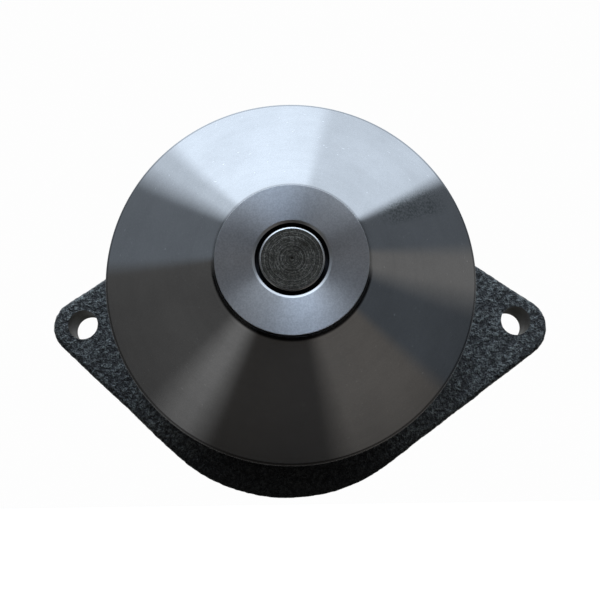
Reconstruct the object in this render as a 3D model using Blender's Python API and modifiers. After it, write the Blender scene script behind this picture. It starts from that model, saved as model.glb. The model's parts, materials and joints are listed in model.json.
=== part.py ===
"""Belt-driven engine coolant pump: cast housing, integral bearing shaft, ribbed pulley and impeller.

Frame: the shaft axis lies along Y, the pulley faces -Y, the engine block is on the +Y side and
+Z is up. The origin is on the shaft axis in the plane of the housing's mounting face.
"""
import math

import bmesh
import bpy
from mathutils import Matrix

MM = 0.001

# Overall stations along the shaft, measured forward (towards the pulley) from the mounting face.
BOSS_FACE = 66.0 * MM
SHAFT_REAR = -20.0 * MM
FLANGE_THICKNESS = 12.0 * MM
NOSE_FRONT = 48.6 * MM
GAP = 0.3 * MM

# Pulley.
BOSS_RADIUS = 18.56 * MM
BOSS_HEIGHT = 2.8 * MM
CONE_TOP_RADIUS = 20.4 * MM
CONE_EDGE_RADIUS = 47.85 * MM
CONE_EDGE_DEPTH = 19.3 * MM
RIM_RADIUS = 48.45 * MM
RIM_WIDTH = 31.0 * MM
RIM_INNER_RADIUS = 42.6 * MM
RIB_PITCH = 3.56 * MM
RIB_DEPTH = 2.9 * MM
RIB_COUNT = 8
WEB_THICKNESS = 6.4 * MM
HUB_RADIUS = 16.5 * MM
HUB_REAR = 49.6 * MM
BORE_MOUTH_RADIUS = 9.25 * MM
COUNTERBORE_RADIUS = 9.0 * MM
COUNTERBORE_DEPTH = 5.0 * MM

# Shaft and bearing.
SHAFT_RADIUS = 8.0 * MM
BEARING_RADIUS = 15.0 * MM
BEARING_BORE = 12.0 * MM
BEARING_FRONT = 48.2 * MM
BEARING_REAR = 16.5 * MM
BALL_RADIUS = 2.75 * MM
BALL_CIRCLE_RADIUS = 10.0 * MM
BALL_ROWS = {"front": 40.5 * MM, "rear": 24.0 * MM}
BALLS_PER_ROW = 8
RACE_CLEARANCE = 0.1 * MM

# Housing outline: rounded corners joined by straight tangents, as (x, z, radius), anticlockwise.
OUTLINE = [
    (-62.9 * MM, -6.2 * MM, 8.2 * MM),
    (-0.9 * MM, -7.6 * MM, 49.5 * MM),
    (67.8 * MM, -7.6 * MM, 9.3 * MM),
    (2.9 * MM, 2.5 * MM, 38.0 * MM),
]
BOLT_HOLES = [(-62.1 * MM, -5.9 * MM), (67.6 * MM, -5.9 * MM)]
BOLT_HOLE_RADIUS = 4.4 * MM
FLANGE_EDGE_ROUND = 1.6 * MM
NOSE_RADIUS = 22.0 * MM
NOSE_FILLET = 5.0 * MM
SEAL_CAVITY_RADIUS = 14.3 * MM
RECESS_CENTRE = (-0.5 * MM, -3.6 * MM)
RECESS_RADIUS = 33.0 * MM
RECESS_DEPTH = 5.0 * MM
GROOVE_CENTRE = (-0.9 * MM, -7.6 * MM)
GROOVE_INNER = 38.6 * MM
GROOVE_OUTER = 42.0 * MM
GROOVE_DEPTH = 2.6 * MM
WEEP_RADIUS = 1.9 * MM
WEEP_STATION = 14.8 * MM

# Impeller.
IMPELLER_RADIUS = 28.0 * MM
IMPELLER_HUB_RADIUS = 17.6 * MM
VANE_COUNT = 6
VANE_THICKNESS = 2.8 * MM
VANE_SWEEP = math.radians(38.0)

STEPS = 32
FORWARD = (math.pi / 2, 0.0, 0.0)   # turns a local +Z into the pump's forward direction, -Y


def clear_scene():
    for item in list(bpy.data.objects):
        bpy.data.objects.remove(item, do_unlink=True)


def new_collection(name):
    collection = bpy.data.collections.new(name)
    bpy.context.scene.collection.children.link(collection)
    return collection


def material(name, colour, roughness, metallic):
    made = bpy.data.materials.new(name)
    made.use_nodes = True
    shader = made.node_tree.nodes["Principled BSDF"]
    shader.inputs["Base Color"].default_value = (*colour, 1.0)
    shader.inputs["Roughness"].default_value = roughness
    shader.inputs["Metallic"].default_value = metallic
    return made


def place(item, collection, surface=None, parent=None, forward=True):
    """Link an object, point its local +Z forward and give it its material and parent."""
    collection.objects.link(item)
    if forward:
        item.rotation_euler = FORWARD
    if surface is not None:
        item.data.materials.clear()
        item.data.materials.append(surface)
    if parent is not None:
        item.parent = parent
    return item


def make_cutter(item):
    place(item, CUTTERS)
    item.hide_render = True
    item.display_type = "WIRE"
    return item


def combine(target, tool, operation, solver="EXACT"):
    step = target.modifiers.new(f"{operation.lower()}_{tool.name}", "BOOLEAN")
    step.operation = operation
    step.solver = solver
    step.object = tool


def arc(centre, radius, start, end, count):
    """Points on a circular arc of a profile, angles in degrees."""
    angles = [math.radians(start + (end - start) * i / count) for i in range(count + 1)]
    return [(centre[0] + radius * math.cos(a), centre[1] + radius * math.sin(a)) for a in angles]


def turned(name, profile, steps=STEPS, closed=True):
    """A profile of (radius, station) points, outer side running rearward, spun about local Z."""
    mesh = bpy.data.meshes.new(name)
    edges = [(i, i + 1) for i in range(len(profile) - 1)]
    if closed:
        edges.append((len(profile) - 1, 0))
    mesh.from_pydata([(r, 0.0, z) for r, z in profile], edges, [])
    item = bpy.data.objects.new(name, mesh)
    spin = item.modifiers.new("spin", "SCREW")
    spin.axis = "Z"
    spin.angle = math.tau
    spin.steps = steps
    spin.render_steps = steps
    spin.use_smooth_shade = True
    spin.use_merge_vertices = True
    spin.merge_threshold = 0.00001
    return item


def ring(name, inner, outer, rear, front, steps=STEPS):
    """A plain ring of rectangular section."""
    return turned(name, [(inner, front), (outer, front), (outer, rear), (inner, rear)], steps)


def cylinder_mesh(name, placements, radius, length, sides=24):
    """Capped cylinders in one mesh; each placement is a matrix with the cylinder along its Z."""
    mesh = bpy.data.meshes.new(name)
    body = bmesh.new()
    for matrix in placements:
        bmesh.ops.create_cone(body, cap_ends=True, segments=sides, radius1=radius,
                              radius2=radius, depth=length, matrix=matrix)
    body.to_mesh(mesh)
    body.free()
    return mesh


def filled_outline(name, loops, thickness, rear):
    """Solid plate from closed 2D outlines, its rear face at the station given."""
    curve = bpy.data.curves.new(name, "CURVE")
    curve.dimensions = "2D"
    curve.fill_mode = "BOTH"
    curve.extrude = thickness / 2
    for loop in loops:
        spline = curve.splines.new("POLY")
        spline.points.add(len(loop) - 1)
        for point, (x, y) in zip(spline.points, loop):
            point.co = (x, y, 0.0, 1.0)
        spline.use_cyclic_u = True
    sketch = bpy.data.objects.new(f"{name}_sketch", curve)
    CUTTERS.objects.link(sketch)
    bpy.context.view_layer.update()
    evaluated = sketch.evaluated_get(bpy.context.evaluated_depsgraph_get())
    mesh = bpy.data.meshes.new_from_object(evaluated)
    bpy.data.objects.remove(sketch, do_unlink=True)
    body = bmesh.new()
    body.from_mesh(mesh)
    bmesh.ops.remove_doubles(body, verts=body.verts, dist=0.00001)
    bmesh.ops.translate(body, verts=body.verts, vec=(0.0, 0.0, rear + thickness / 2))
    bmesh.ops.recalc_face_normals(body, faces=body.faces)
    body.to_mesh(mesh)
    body.free()
    mesh.name = name
    return bpy.data.objects.new(name, mesh)


def tangent_direction(first, second):
    """Angle of the outward normal of the outer tangent line from one circle to the next."""
    dx = second[0] - first[0]
    dy = second[1] - first[1]
    lean = math.asin((first[2] - second[2]) / math.hypot(dx, dy))
    return math.atan2(dy, dx) - math.pi / 2 + lean


def rounded_outline(circles, step=math.radians(7.0)):
    """Arcs around each circle in turn, joined by their outer tangents, anticlockwise."""
    points = []
    for index, circle in enumerate(circles):
        start = tangent_direction(circles[index - 1], circle)
        end = tangent_direction(circle, circles[(index + 1) % len(circles)])
        sweep = (end - start) % math.tau
        count = max(2, round(sweep / step))
        for i in range(count + 1):
            angle = start + sweep * i / count
            points.append((circle[0] + circle[2] * math.cos(angle),
                           circle[1] + circle[2] * math.sin(angle)))
    return points


def round_front_edge(item, station, radius):
    """Round the outer edge of a plate's front face."""
    body = bmesh.new()
    body.from_mesh(item.data)
    rim = [edge for edge in body.edges
           if all(abs(v.co.z - station) < 1e-6 for v in edge.verts)
           and len(edge.link_faces) == 2
           and any(abs(face.normal.z) < 0.5 for face in edge.link_faces)]
    bmesh.ops.bevel(body, geom=rim, offset=radius, segments=3, profile=0.5,
                    affect="EDGES", clamp_overlap=True)
    body.to_mesh(item.data)
    body.free()


def build_housing(parent):
    housing = filled_outline("housing", [rounded_outline(OUTLINE)], FLANGE_THICKNESS, 0.0)
    round_front_edge(housing, FLANGE_THICKNESS, FLANGE_EDGE_ROUND)
    fillet = arc((NOSE_RADIUS + NOSE_FILLET, FLANGE_THICKNESS + NOSE_FILLET),
                 NOSE_FILLET, 180.0, 270.0, 5)
    nose_profile = [(0.0, NOSE_FRONT), (NOSE_RADIUS - 1.2 * MM, NOSE_FRONT),
                    (NOSE_RADIUS, NOSE_FRONT - 1.2 * MM), *fillet,
                    (NOSE_RADIUS + NOSE_FILLET, 6.0 * MM), (0.0, 6.0 * MM)]
    combine(housing, make_cutter(turned("nose", nose_profile, closed=False)), "UNION")
    shoulder = BEARING_REAR - GAP
    bore_profile = [(0.0, NOSE_FRONT + 1 * MM), (BEARING_RADIUS + 0.15 * MM, NOSE_FRONT + 1 * MM),
                    (BEARING_RADIUS + 0.15 * MM, shoulder), (SEAL_CAVITY_RADIUS, shoulder),
                    (SEAL_CAVITY_RADIUS, -1 * MM), (0.0, -1 * MM)]
    combine(housing, make_cutter(turned("bore", bore_profile, closed=False)), "DIFFERENCE")
    cut_rear_face(housing)
    cut_small_holes(housing)
    place(housing, PUMP, MATERIALS["painted_casting"], parent)
    return housing


def cut_rear_face(housing):
    """Impeller recess and seal-ring groove in the mounting face."""
    profile = [(0.0, RECESS_DEPTH), (RECESS_RADIUS, RECESS_DEPTH),
               (RECESS_RADIUS, -1 * MM), (0.0, -1 * MM)]
    recess = make_cutter(turned("recess", profile, 48, closed=False))
    recess.location = (RECESS_CENTRE[0], 0.0, RECESS_CENTRE[1])
    combine(housing, recess, "DIFFERENCE")
    groove = make_cutter(ring("groove", GROOVE_INNER, GROOVE_OUTER, -1 * MM, GROOVE_DEPTH, 48))
    groove.location = (GROOVE_CENTRE[0], 0.0, GROOVE_CENTRE[1])
    combine(housing, groove, "DIFFERENCE")


def cut_small_holes(housing):
    """The two bolt holes and the weep hole under the nose."""
    bolts = [Matrix.Translation((x, z, FLANGE_THICKNESS / 2)) for x, z in BOLT_HOLES]
    mesh = cylinder_mesh("bolt_holes", bolts, BOLT_HOLE_RADIUS, FLANGE_THICKNESS + 4 * MM, 32)
    combine(housing, make_cutter(bpy.data.objects.new("bolt_holes", mesh)), "DIFFERENCE")
    middle = -(SEAL_CAVITY_RADIUS + NOSE_RADIUS) / 2
    down = Matrix.Translation((0.0, middle, WEEP_STATION)) @ Matrix.Rotation(math.pi / 2, 4, "X")
    mesh = cylinder_mesh("weep", [down], WEEP_RADIUS, 20 * MM, 16)
    combine(housing, make_cutter(bpy.data.objects.new("weep", mesh)), "DIFFERENCE", "MANIFOLD")


def race_groove(centre_station, inward, radius):
    """Part-circle dip of a ball race, listed from front to rear."""
    track = BALL_RADIUS + RACE_CLEARANCE
    reach = math.degrees(math.acos(abs(radius - BALL_CIRCLE_RADIUS) / track))
    middle = 180.0 if inward else 0.0
    turn = -1 if inward else 1
    return arc((BALL_CIRCLE_RADIUS, centre_station), track,
               middle + turn * reach, middle - turn * reach, 6)


def build_bearing(parent):
    """Outer ring and lip seals of the double-row bearing."""
    races = []
    for station in sorted(BALL_ROWS.values()):
        races += race_groove(station, False, BEARING_BORE)[::-1]
    profile = [(BEARING_BORE, BEARING_FRONT), (BEARING_RADIUS - 0.6 * MM, BEARING_FRONT),
               (BEARING_RADIUS, BEARING_FRONT - 0.6 * MM),
               (BEARING_RADIUS, BEARING_REAR + 0.6 * MM),
               (BEARING_RADIUS - 0.6 * MM, BEARING_REAR), (BEARING_BORE, BEARING_REAR), *races]
    outer = turned("bearing_outer_ring", profile)
    place(outer, PUMP, MATERIALS["bearing_steel"], parent)
    for row, front in (("front", BEARING_FRONT - 0.5 * MM), ("rear", BEARING_REAR + 2.3 * MM)):
        lip = [(9.4 * MM, front - 0.2 * MM), (BEARING_BORE - 0.15 * MM, front),
               (BEARING_BORE - 0.15 * MM, front - 1.8 * MM), (9.4 * MM, front - 1.6 * MM),
               (8.25 * MM, front - 1.2 * MM), (8.25 * MM, front - 0.6 * MM)]
        place(turned(f"bearing_seal_{row}", lip), PUMP, MATERIALS["seal_rubber"], parent)


def build_ball_row(row, station):
    """A cage ring with its balls, on an empty that turns about the shaft axis."""
    axis = bpy.data.objects.new(f"{row}_ball_set_axis", None)
    PUMP.objects.link(axis)
    axis.location = (0.0, -station, 0.0)
    cage = ring(f"bearing_cage_{row}", 9.3 * MM, 10.7 * MM, -4.0 * MM, 4.0 * MM)
    angles = [math.tau * i / BALLS_PER_ROW for i in range(BALLS_PER_ROW)]
    pockets = [Matrix.Rotation(a, 4, "Z")
               @ Matrix.Translation((BALL_CIRCLE_RADIUS, 0.0, 0.0))
               @ Matrix.Rotation(math.pi / 2, 4, "Y") for a in angles]
    mesh = cylinder_mesh(f"pockets_{row}", pockets, BALL_RADIUS + 0.3 * MM, 6 * MM, 12)
    cutter = make_cutter(bpy.data.objects.new(f"pockets_{row}", mesh))
    cutter.parent = axis
    combine(cage, cutter, "DIFFERENCE")
    place(cage, PUMP, MATERIALS["cage_polymer"], axis)
    mesh = bpy.data.meshes.new(f"ball_{row}")
    body = bmesh.new()
    bmesh.ops.create_uvsphere(body, u_segments=10, v_segments=7, radius=BALL_RADIUS)
    body.to_mesh(mesh)
    body.free()
    mesh.shade_smooth()
    for number, angle in enumerate(angles, start=1):
        ball = bpy.data.objects.new(f"ball_{row}_{number}", mesh)
        place(ball, PUMP, MATERIALS["ball_steel"], axis)
        ball.location = (BALL_CIRCLE_RADIUS * math.cos(angle), 0.0,
                         BALL_CIRCLE_RADIUS * math.sin(angle))


def build_shaft(parent):
    """Integral bearing shaft: ball grooves are ground straight into it."""
    chamfer = 0.7 * MM
    profile = [(0.0, BOSS_FACE - 0.6 * MM), (1.0 * MM, BOSS_FACE),
               (SHAFT_RADIUS - chamfer, BOSS_FACE), (SHAFT_RADIUS, BOSS_FACE - chamfer)]
    for station in sorted(BALL_ROWS.values(), reverse=True):
        profile += race_groove(station, True, SHAFT_RADIUS)
    profile += [(SHAFT_RADIUS, SHAFT_REAR + chamfer), (SHAFT_RADIUS - chamfer, SHAFT_REAR),
                (0.0, SHAFT_REAR)]
    place(turned("bearing_shaft", profile, closed=False), PUMP, MATERIALS["shaft_steel"], parent)


def rib_profile(front):
    """V-grooves of the belt track, listed from front to rear."""
    flank = RIB_DEPTH * math.tan(math.radians(20.0))
    floor = 0.7 * MM
    points = []
    for index in range(RIB_COUNT):
        top = front - index * RIB_PITCH
        points += [(RIM_RADIUS, top), (RIM_RADIUS - RIB_DEPTH, top - flank),
                   (RIM_RADIUS - RIB_DEPTH, top - flank - floor),
                   (RIM_RADIUS, top - 2 * flank - floor)]
    return points


def build_pulley(parent):
    """Disc with its conical face, boss and hub, and the belt rim around it."""
    cone_top = BOSS_FACE - BOSS_HEIGHT
    edge = BOSS_FACE - CONE_EDGE_DEPTH
    slope = (cone_top - edge) / (CONE_EDGE_RADIUS - CONE_TOP_RADIUS)
    disc_radius = RIM_INNER_RADIUS - GAP
    face_at_joint = cone_top - (RIM_INNER_RADIUS - CONE_TOP_RADIUS) * slope
    web_outer = face_at_joint - WEB_THICKNESS
    web_inner = cone_top + (CONE_TOP_RADIUS - HUB_RADIUS) * slope - WEB_THICKNESS
    bore = SHAFT_RADIUS + 0.15 * MM
    foot = CONE_TOP_RADIUS - BOSS_RADIUS
    disc = [(BORE_MOUTH_RADIUS, BOSS_FACE), (BOSS_RADIUS - 0.4 * MM, BOSS_FACE),
            (BOSS_RADIUS, BOSS_FACE - 0.4 * MM),
            *arc((CONE_TOP_RADIUS, cone_top + foot), foot, 180.0, 255.0, 4),
            (disc_radius, face_at_joint + GAP * slope), (disc_radius, web_outer),
            (HUB_RADIUS + 2 * MM, web_inner - 2 * slope * MM),
            (HUB_RADIUS, web_inner - 2 * MM), (HUB_RADIUS, HUB_REAR), (bore, HUB_REAR),
            (bore, BOSS_FACE - COUNTERBORE_DEPTH),
            (COUNTERBORE_RADIUS, BOSS_FACE - COUNTERBORE_DEPTH),
            (COUNTERBORE_RADIUS, BOSS_FACE - (BORE_MOUTH_RADIUS - COUNTERBORE_RADIUS))]
    place(turned("pulley", disc, 44), PUMP, MATERIALS["machined_steel"], parent)
    rim_front = edge - (RIM_RADIUS - CONE_EDGE_RADIUS)
    rim_rear = rim_front - RIM_WIDTH
    bank = (RIB_COUNT - 1) * RIB_PITCH + 2 * RIB_DEPTH * math.tan(math.radians(20.0)) + 0.7 * MM
    land = (RIM_WIDTH - bank) / 2
    rim = [(RIM_INNER_RADIUS, face_at_joint), (CONE_EDGE_RADIUS, edge), (RIM_RADIUS, rim_front),
           *rib_profile(rim_front - land), (RIM_RADIUS, rim_rear + 0.4 * MM),
           (RIM_RADIUS - 0.4 * MM, rim_rear), (RIM_INNER_RADIUS, rim_rear)]
    place(turned("pulley_rim", rim, 44), PUMP, MATERIALS["machined_steel"], parent)


def build_slinger(parent):
    """Thin flinger ring between the bearing and the coolant seal."""
    profile = [(8.15 * MM, 16.0 * MM), (9.0 * MM, 16.0 * MM), (9.3 * MM, 15.6 * MM),
               (13.0 * MM, 14.6 * MM), (13.0 * MM, 14.1 * MM), (9.2 * MM, 14.6 * MM),
               (8.15 * MM, 14.6 * MM)]
    place(turned("slinger", profile), PUMP, MATERIALS["shaft_steel"], parent)


def build_fixed_seal(parent):
    """Stationary half of the mechanical coolant seal, from the cup back to the carbon face."""
    cup = [(9.0 * MM, 12.6 * MM), (13.9 * MM, 12.6 * MM), (14.1 * MM, 12.4 * MM),
           (14.1 * MM, 4.6 * MM), (17.4 * MM, 4.6 * MM), (17.4 * MM, 4.0 * MM),
           (13.5 * MM, 4.0 * MM), (13.5 * MM, 12.0 * MM), (9.6 * MM, 12.0 * MM),
           (9.6 * MM, 9.5 * MM), (9.0 * MM, 9.5 * MM)]
    place(turned("seal_cup", cup), PUMP, MATERIALS["brass"], parent)
    folds = [(10.9 * MM, 11.6 * MM)]
    for index in range(5):
        radius = (11.2 if index % 2 else 10.6) * MM
        folds.append((radius, (10.2 - 2.2 * index) * MM))
    inner = [(r - 0.9 * MM, z) for r, z in reversed(folds)]
    place(turned("seal_bellows", folds + inner), PUMP, MATERIALS["seal_rubber"], parent)
    build_spring(parent)
    retainer = [(11.5 * MM, 1.9 * MM), (13.2 * MM, 1.9 * MM), (13.2 * MM, 0.2 * MM),
                (12.7 * MM, 0.2 * MM), (12.7 * MM, 1.4 * MM), (11.5 * MM, 1.4 * MM)]
    place(turned("seal_spring_retainer", retainer), PUMP, MATERIALS["shaft_steel"], parent)
    carbon = [(9.0 * MM, 1.0 * MM), (12.4 * MM, 1.0 * MM), (12.4 * MM, -1.2 * MM),
              (11.6 * MM, -1.2 * MM), (11.6 * MM, -2.0 * MM), (9.6 * MM, -2.0 * MM),
              (9.6 * MM, -1.2 * MM), (9.0 * MM, -1.2 * MM)]
    place(turned("seal_carbon_ring", carbon), PUMP, MATERIALS["carbon"], parent)


def build_spring(parent):
    """Compression spring that presses the carbon ring against its seat."""
    turns = 3.5
    per_turn = 12
    front = 11.2 * MM
    rear = 2.8 * MM
    curve = bpy.data.curves.new("seal_spring", "CURVE")
    curve.dimensions = "3D"
    curve.bevel_depth = 0.5 * MM
    curve.bevel_resolution = 2
    curve.use_fill_caps = True
    count = int(turns * per_turn) + 1
    spline = curve.splines.new("POLY")
    spline.points.add(count - 1)
    for index, point in enumerate(spline.points):
        angle = math.tau * index / per_turn
        height = rear + (front - rear) * index / (count - 1)
        point.co = (12.4 * MM * math.cos(angle), 12.4 * MM * math.sin(angle), height, 1.0)
    spring = bpy.data.objects.new("seal_spring", curve)
    place(spring, PUMP, MATERIALS["spring_steel"], parent)


def build_rotating_seat(parent):
    """Ceramic seat and its rubber boot, carried in the impeller's hub."""
    seat = ring("seal_seat", 8.9 * MM, 12.6 * MM, -5.6 * MM, -2.1 * MM)
    place(seat, PUMP, MATERIALS["seat_ceramic"], parent)
    boot = [(12.75 * MM, -2.6 * MM), (13.4 * MM, -2.6 * MM), (13.4 * MM, -6.6 * MM),
            (8.3 * MM, -6.6 * MM), (8.3 * MM, -5.8 * MM), (12.75 * MM, -5.8 * MM)]
    place(turned("seal_seat_boot", boot), PUMP, MATERIALS["seal_rubber"], parent)


def vane_outline(start_angle):
    """One backward-swept vane as a closed outline."""
    inner = 13.9 * MM
    outer = IMPELLER_RADIUS - 0.2 * MM
    samples = 7
    near_side = []
    far_side = []
    for index in range(samples + 1):
        share = index / samples
        radius = inner + (outer - inner) * share
        angle = start_angle + VANE_SWEEP * share
        half = VANE_THICKNESS / 2 / radius * (1.35 - 0.35 * share)
        near_side.append((radius * math.cos(angle - half), radius * math.sin(angle - half)))
        far_side.append((radius * math.cos(angle + half), radius * math.sin(angle + half)))
    return near_side + far_side[::-1]


def build_impeller(parent):
    counterbore = 13.55 * MM
    bore = SHAFT_RADIUS + 0.15 * MM
    disc_front = -2.4 * MM
    disc_rear = -5.2 * MM
    profile = [(counterbore, -1.4 * MM), (IMPELLER_HUB_RADIUS, -1.4 * MM),
               (IMPELLER_HUB_RADIUS, disc_front), (IMPELLER_RADIUS, disc_front),
               (IMPELLER_RADIUS, disc_rear), (IMPELLER_HUB_RADIUS, disc_rear),
               *arc((IMPELLER_HUB_RADIUS, disc_rear - 3 * MM), 3 * MM, 110.0, 180.0, 3),
               (14.4 * MM, -18.8 * MM), (13.6 * MM, -19.6 * MM), (bore, -19.6 * MM),
               (bore, -6.9 * MM), (counterbore, -6.9 * MM)]
    impeller = turned("impeller", profile)
    loops = [vane_outline(math.tau * i / VANE_COUNT) for i in range(VANE_COUNT)]
    vanes = filled_outline("vanes", loops, 12.3 * MM, -17.0 * MM)
    combine(impeller, make_cutter(vanes), "UNION", "MANIFOLD")
    place(impeller, PUMP, MATERIALS["impeller_iron"], parent)


def build_mounting_seal(parent):
    """Square-section rubber ring in the mounting face's groove."""
    inner = GROOVE_INNER + 0.4 * MM
    outer = GROOVE_OUTER - 0.4 * MM
    seal = ring("mounting_seal_ring", inner, outer, -0.6 * MM, GROOVE_DEPTH - GAP, 48)
    place(seal, PUMP, MATERIALS["seal_rubber"], parent)
    seal.location = (GROOVE_CENTRE[0], 0.0, GROOVE_CENTRE[1])


clear_scene()
PUMP = new_collection("coolant_pump")
CUTTERS = new_collection("cutters")
MATERIALS = {
    "painted_casting": material("painted_casting", (0.035, 0.038, 0.042), 0.55, 0.25),
    "machined_steel": material("machined_steel", (0.62, 0.63, 0.64), 0.26, 1.0),
    "shaft_steel": material("shaft_steel", (0.32, 0.31, 0.29), 0.38, 1.0),
    "bearing_steel": material("bearing_steel", (0.55, 0.55, 0.56), 0.22, 1.0),
    "ball_steel": material("ball_steel", (0.75, 0.75, 0.76), 0.10, 1.0),
    "spring_steel": material("spring_steel", (0.50, 0.50, 0.52), 0.30, 1.0),
    "cage_polymer": material("cage_polymer", (0.22, 0.17, 0.10), 0.55, 0.0),
    "seal_rubber": material("seal_rubber", (0.02, 0.02, 0.02), 0.75, 0.0),
    "brass": material("brass", (0.62, 0.44, 0.18), 0.35, 1.0),
    "carbon": material("carbon", (0.05, 0.05, 0.055), 0.45, 0.0),
    "seat_ceramic": material("seat_ceramic", (0.80, 0.78, 0.72), 0.30, 0.0),
    "impeller_iron": material("impeller_iron", (0.20, 0.20, 0.20), 0.60, 0.7),
}

fixed_frame = bpy.data.objects.new("housing_frame", None)
PUMP.objects.link(fixed_frame)
shaft_axis = bpy.data.objects.new("shaft_axis", None)
PUMP.objects.link(shaft_axis)

build_housing(fixed_frame)
build_bearing(fixed_frame)
build_fixed_seal(fixed_frame)
build_mounting_seal(fixed_frame)
build_shaft(shaft_axis)
build_pulley(shaft_axis)
build_slinger(shaft_axis)
build_rotating_seat(shaft_axis)
build_impeller(shaft_axis)
for row_name, row_station in BALL_ROWS.items():
    build_ball_row(row_name, row_station)
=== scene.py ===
"""Studio scene of a belt-driven engine coolant pump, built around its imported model.

Frame: shaft axis along Y, pulley towards -Y, engine block towards +Y, +Z up, metres.
"""
import json
import math

import bmesh
import bpy
import numpy as np
from mathutils import Matrix, Vector, noise


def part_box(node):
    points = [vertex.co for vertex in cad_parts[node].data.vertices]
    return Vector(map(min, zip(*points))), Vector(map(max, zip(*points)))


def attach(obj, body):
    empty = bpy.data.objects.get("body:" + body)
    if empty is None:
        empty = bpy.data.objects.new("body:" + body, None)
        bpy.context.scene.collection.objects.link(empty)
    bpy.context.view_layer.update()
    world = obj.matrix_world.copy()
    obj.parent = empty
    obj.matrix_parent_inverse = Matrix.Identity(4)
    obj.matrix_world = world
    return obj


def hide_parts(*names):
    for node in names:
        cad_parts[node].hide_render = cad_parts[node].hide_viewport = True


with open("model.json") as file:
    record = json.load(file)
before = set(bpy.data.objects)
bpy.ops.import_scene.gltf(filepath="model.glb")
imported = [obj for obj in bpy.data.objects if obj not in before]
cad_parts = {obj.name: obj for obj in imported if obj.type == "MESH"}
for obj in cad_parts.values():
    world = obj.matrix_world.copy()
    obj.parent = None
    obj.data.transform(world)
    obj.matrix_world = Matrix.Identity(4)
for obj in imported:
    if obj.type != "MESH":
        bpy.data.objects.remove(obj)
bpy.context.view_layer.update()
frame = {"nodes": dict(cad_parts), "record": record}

MM = 0.001
DETAIL = 1.0

# Sizes shared with the CAD model that no node box or mount states.
CONE_TOP_RADIUS = 20.4 * MM
CONE_EDGE_RADIUS = 47.85 * MM
CONE_EDGE_DEPTH = 19.3 * MM
BOSS_RADIUS = 18.56 * MM
BOSS_HEIGHT = 2.8 * MM
FILLET_RADIUS = 3.4 * MM
BORE_MOUTH_RADIUS = 9.55 * MM
COUNTERBORE_RADIUS = 9.0 * MM
COUNTERBORE_DEPTH = 5.0 * MM
RIM_INNER_RADIUS = 42.6 * MM
WEB_THICKNESS = 6.4 * MM
HUB_RADIUS = 16.5 * MM
HUB_REAR = 49.6 * MM
RIB_PITCH = 3.56 * MM
RIB_DEPTH = 2.9 * MM
RIB_COUNT = 8
SHAFT_RADIUS = 8.0 * MM
BEARING_RADIUS = 15.0 * MM
BALL_RADIUS = 2.75 * MM
BALL_CIRCLE_RADIUS = 10.0 * MM
RACE_CLEARANCE = 0.1 * MM
OUTLINE = [
    (-62.9 * MM, -6.2 * MM, 8.2 * MM),
    (-0.9 * MM, -7.6 * MM, 49.5 * MM),
    (67.8 * MM, -7.6 * MM, 9.3 * MM),
    (2.9 * MM, 2.5 * MM, 38.0 * MM),
]
BOLT_HOLES = [(-62.1 * MM, -5.9 * MM), (67.6 * MM, -5.9 * MM)]
BOLT_HOLE_RADIUS = 4.4 * MM
NOSE_RADIUS = 22.0 * MM
NOSE_FILLET = 5.0 * MM
FLANGE_ROUNDING = 1.7 * MM
MACHINING_ALLOWANCE = 1.0 * MM          # cast material that the cutters take off
BORE_GAP = 0.15 * MM                    # room between a pressed piece and its bore
HOUSING_VOXEL = 0.44 * MM
HOUSING_LUMPS = [(0.9 * MM, 0.12 * MM), (1.6 * MM, 0.10 * MM), (9.0 * MM, 0.12 * MM)]
BEARING_SHOULDER = 16.2 * MM
SEAL_CAVITY_RADIUS = 14.3 * MM
RECESS_CENTRE = (-0.5 * MM, -3.6 * MM)
RECESS_RADIUS = 33.0 * MM
RECESS_DEPTH = 5.0 * MM
GROOVE_CENTRE = (-0.9 * MM, -7.6 * MM)
GROOVE_INNER = 38.6 * MM
GROOVE_OUTER = 42.0 * MM
GROOVE_DEPTH = 2.6 * MM
WEEP_RADIUS = 1.9 * MM
WEEP_STATION = 14.8 * MM
IMPELLER_HUB_RADIUS = 17.6 * MM
VANE_COUNT = 6
VANE_THICKNESS = 2.8 * MM
VANE_SWEEP = math.radians(38.0)

# Stations are measured forward, towards -Y, from the mounting face.
PULLEY_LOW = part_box("pulley")[0]
RIM_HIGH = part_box("pulley_rim")[1]
HOUSING_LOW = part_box("housing")[0]
SHAFT_LOW, SHAFT_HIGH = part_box("bearing_shaft")
IMPELLER_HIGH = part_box("impeller")[1]
BOSS_FACE = -PULLEY_LOW.y
RIM_REAR = -RIM_HIGH.y
RIM_RADIUS = RIM_HIGH.x
NOSE_FRONT = -HOUSING_LOW.y
SHAFT_FRONT = -SHAFT_LOW.y
SHAFT_REAR = -SHAFT_HIGH.y
MOUNTS = {mount["name"]: mount for mount in frame["record"]["mounts"]}
FLANGE_FRONT = -MOUNTS["left_bolt_seat"]["pos_m"][1]

FORWARD = Matrix.Rotation(math.pi / 2, 4, "X")      # local +Z becomes the forward direction, -Y


# ---------------------------------------------------------------- node helpers

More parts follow.
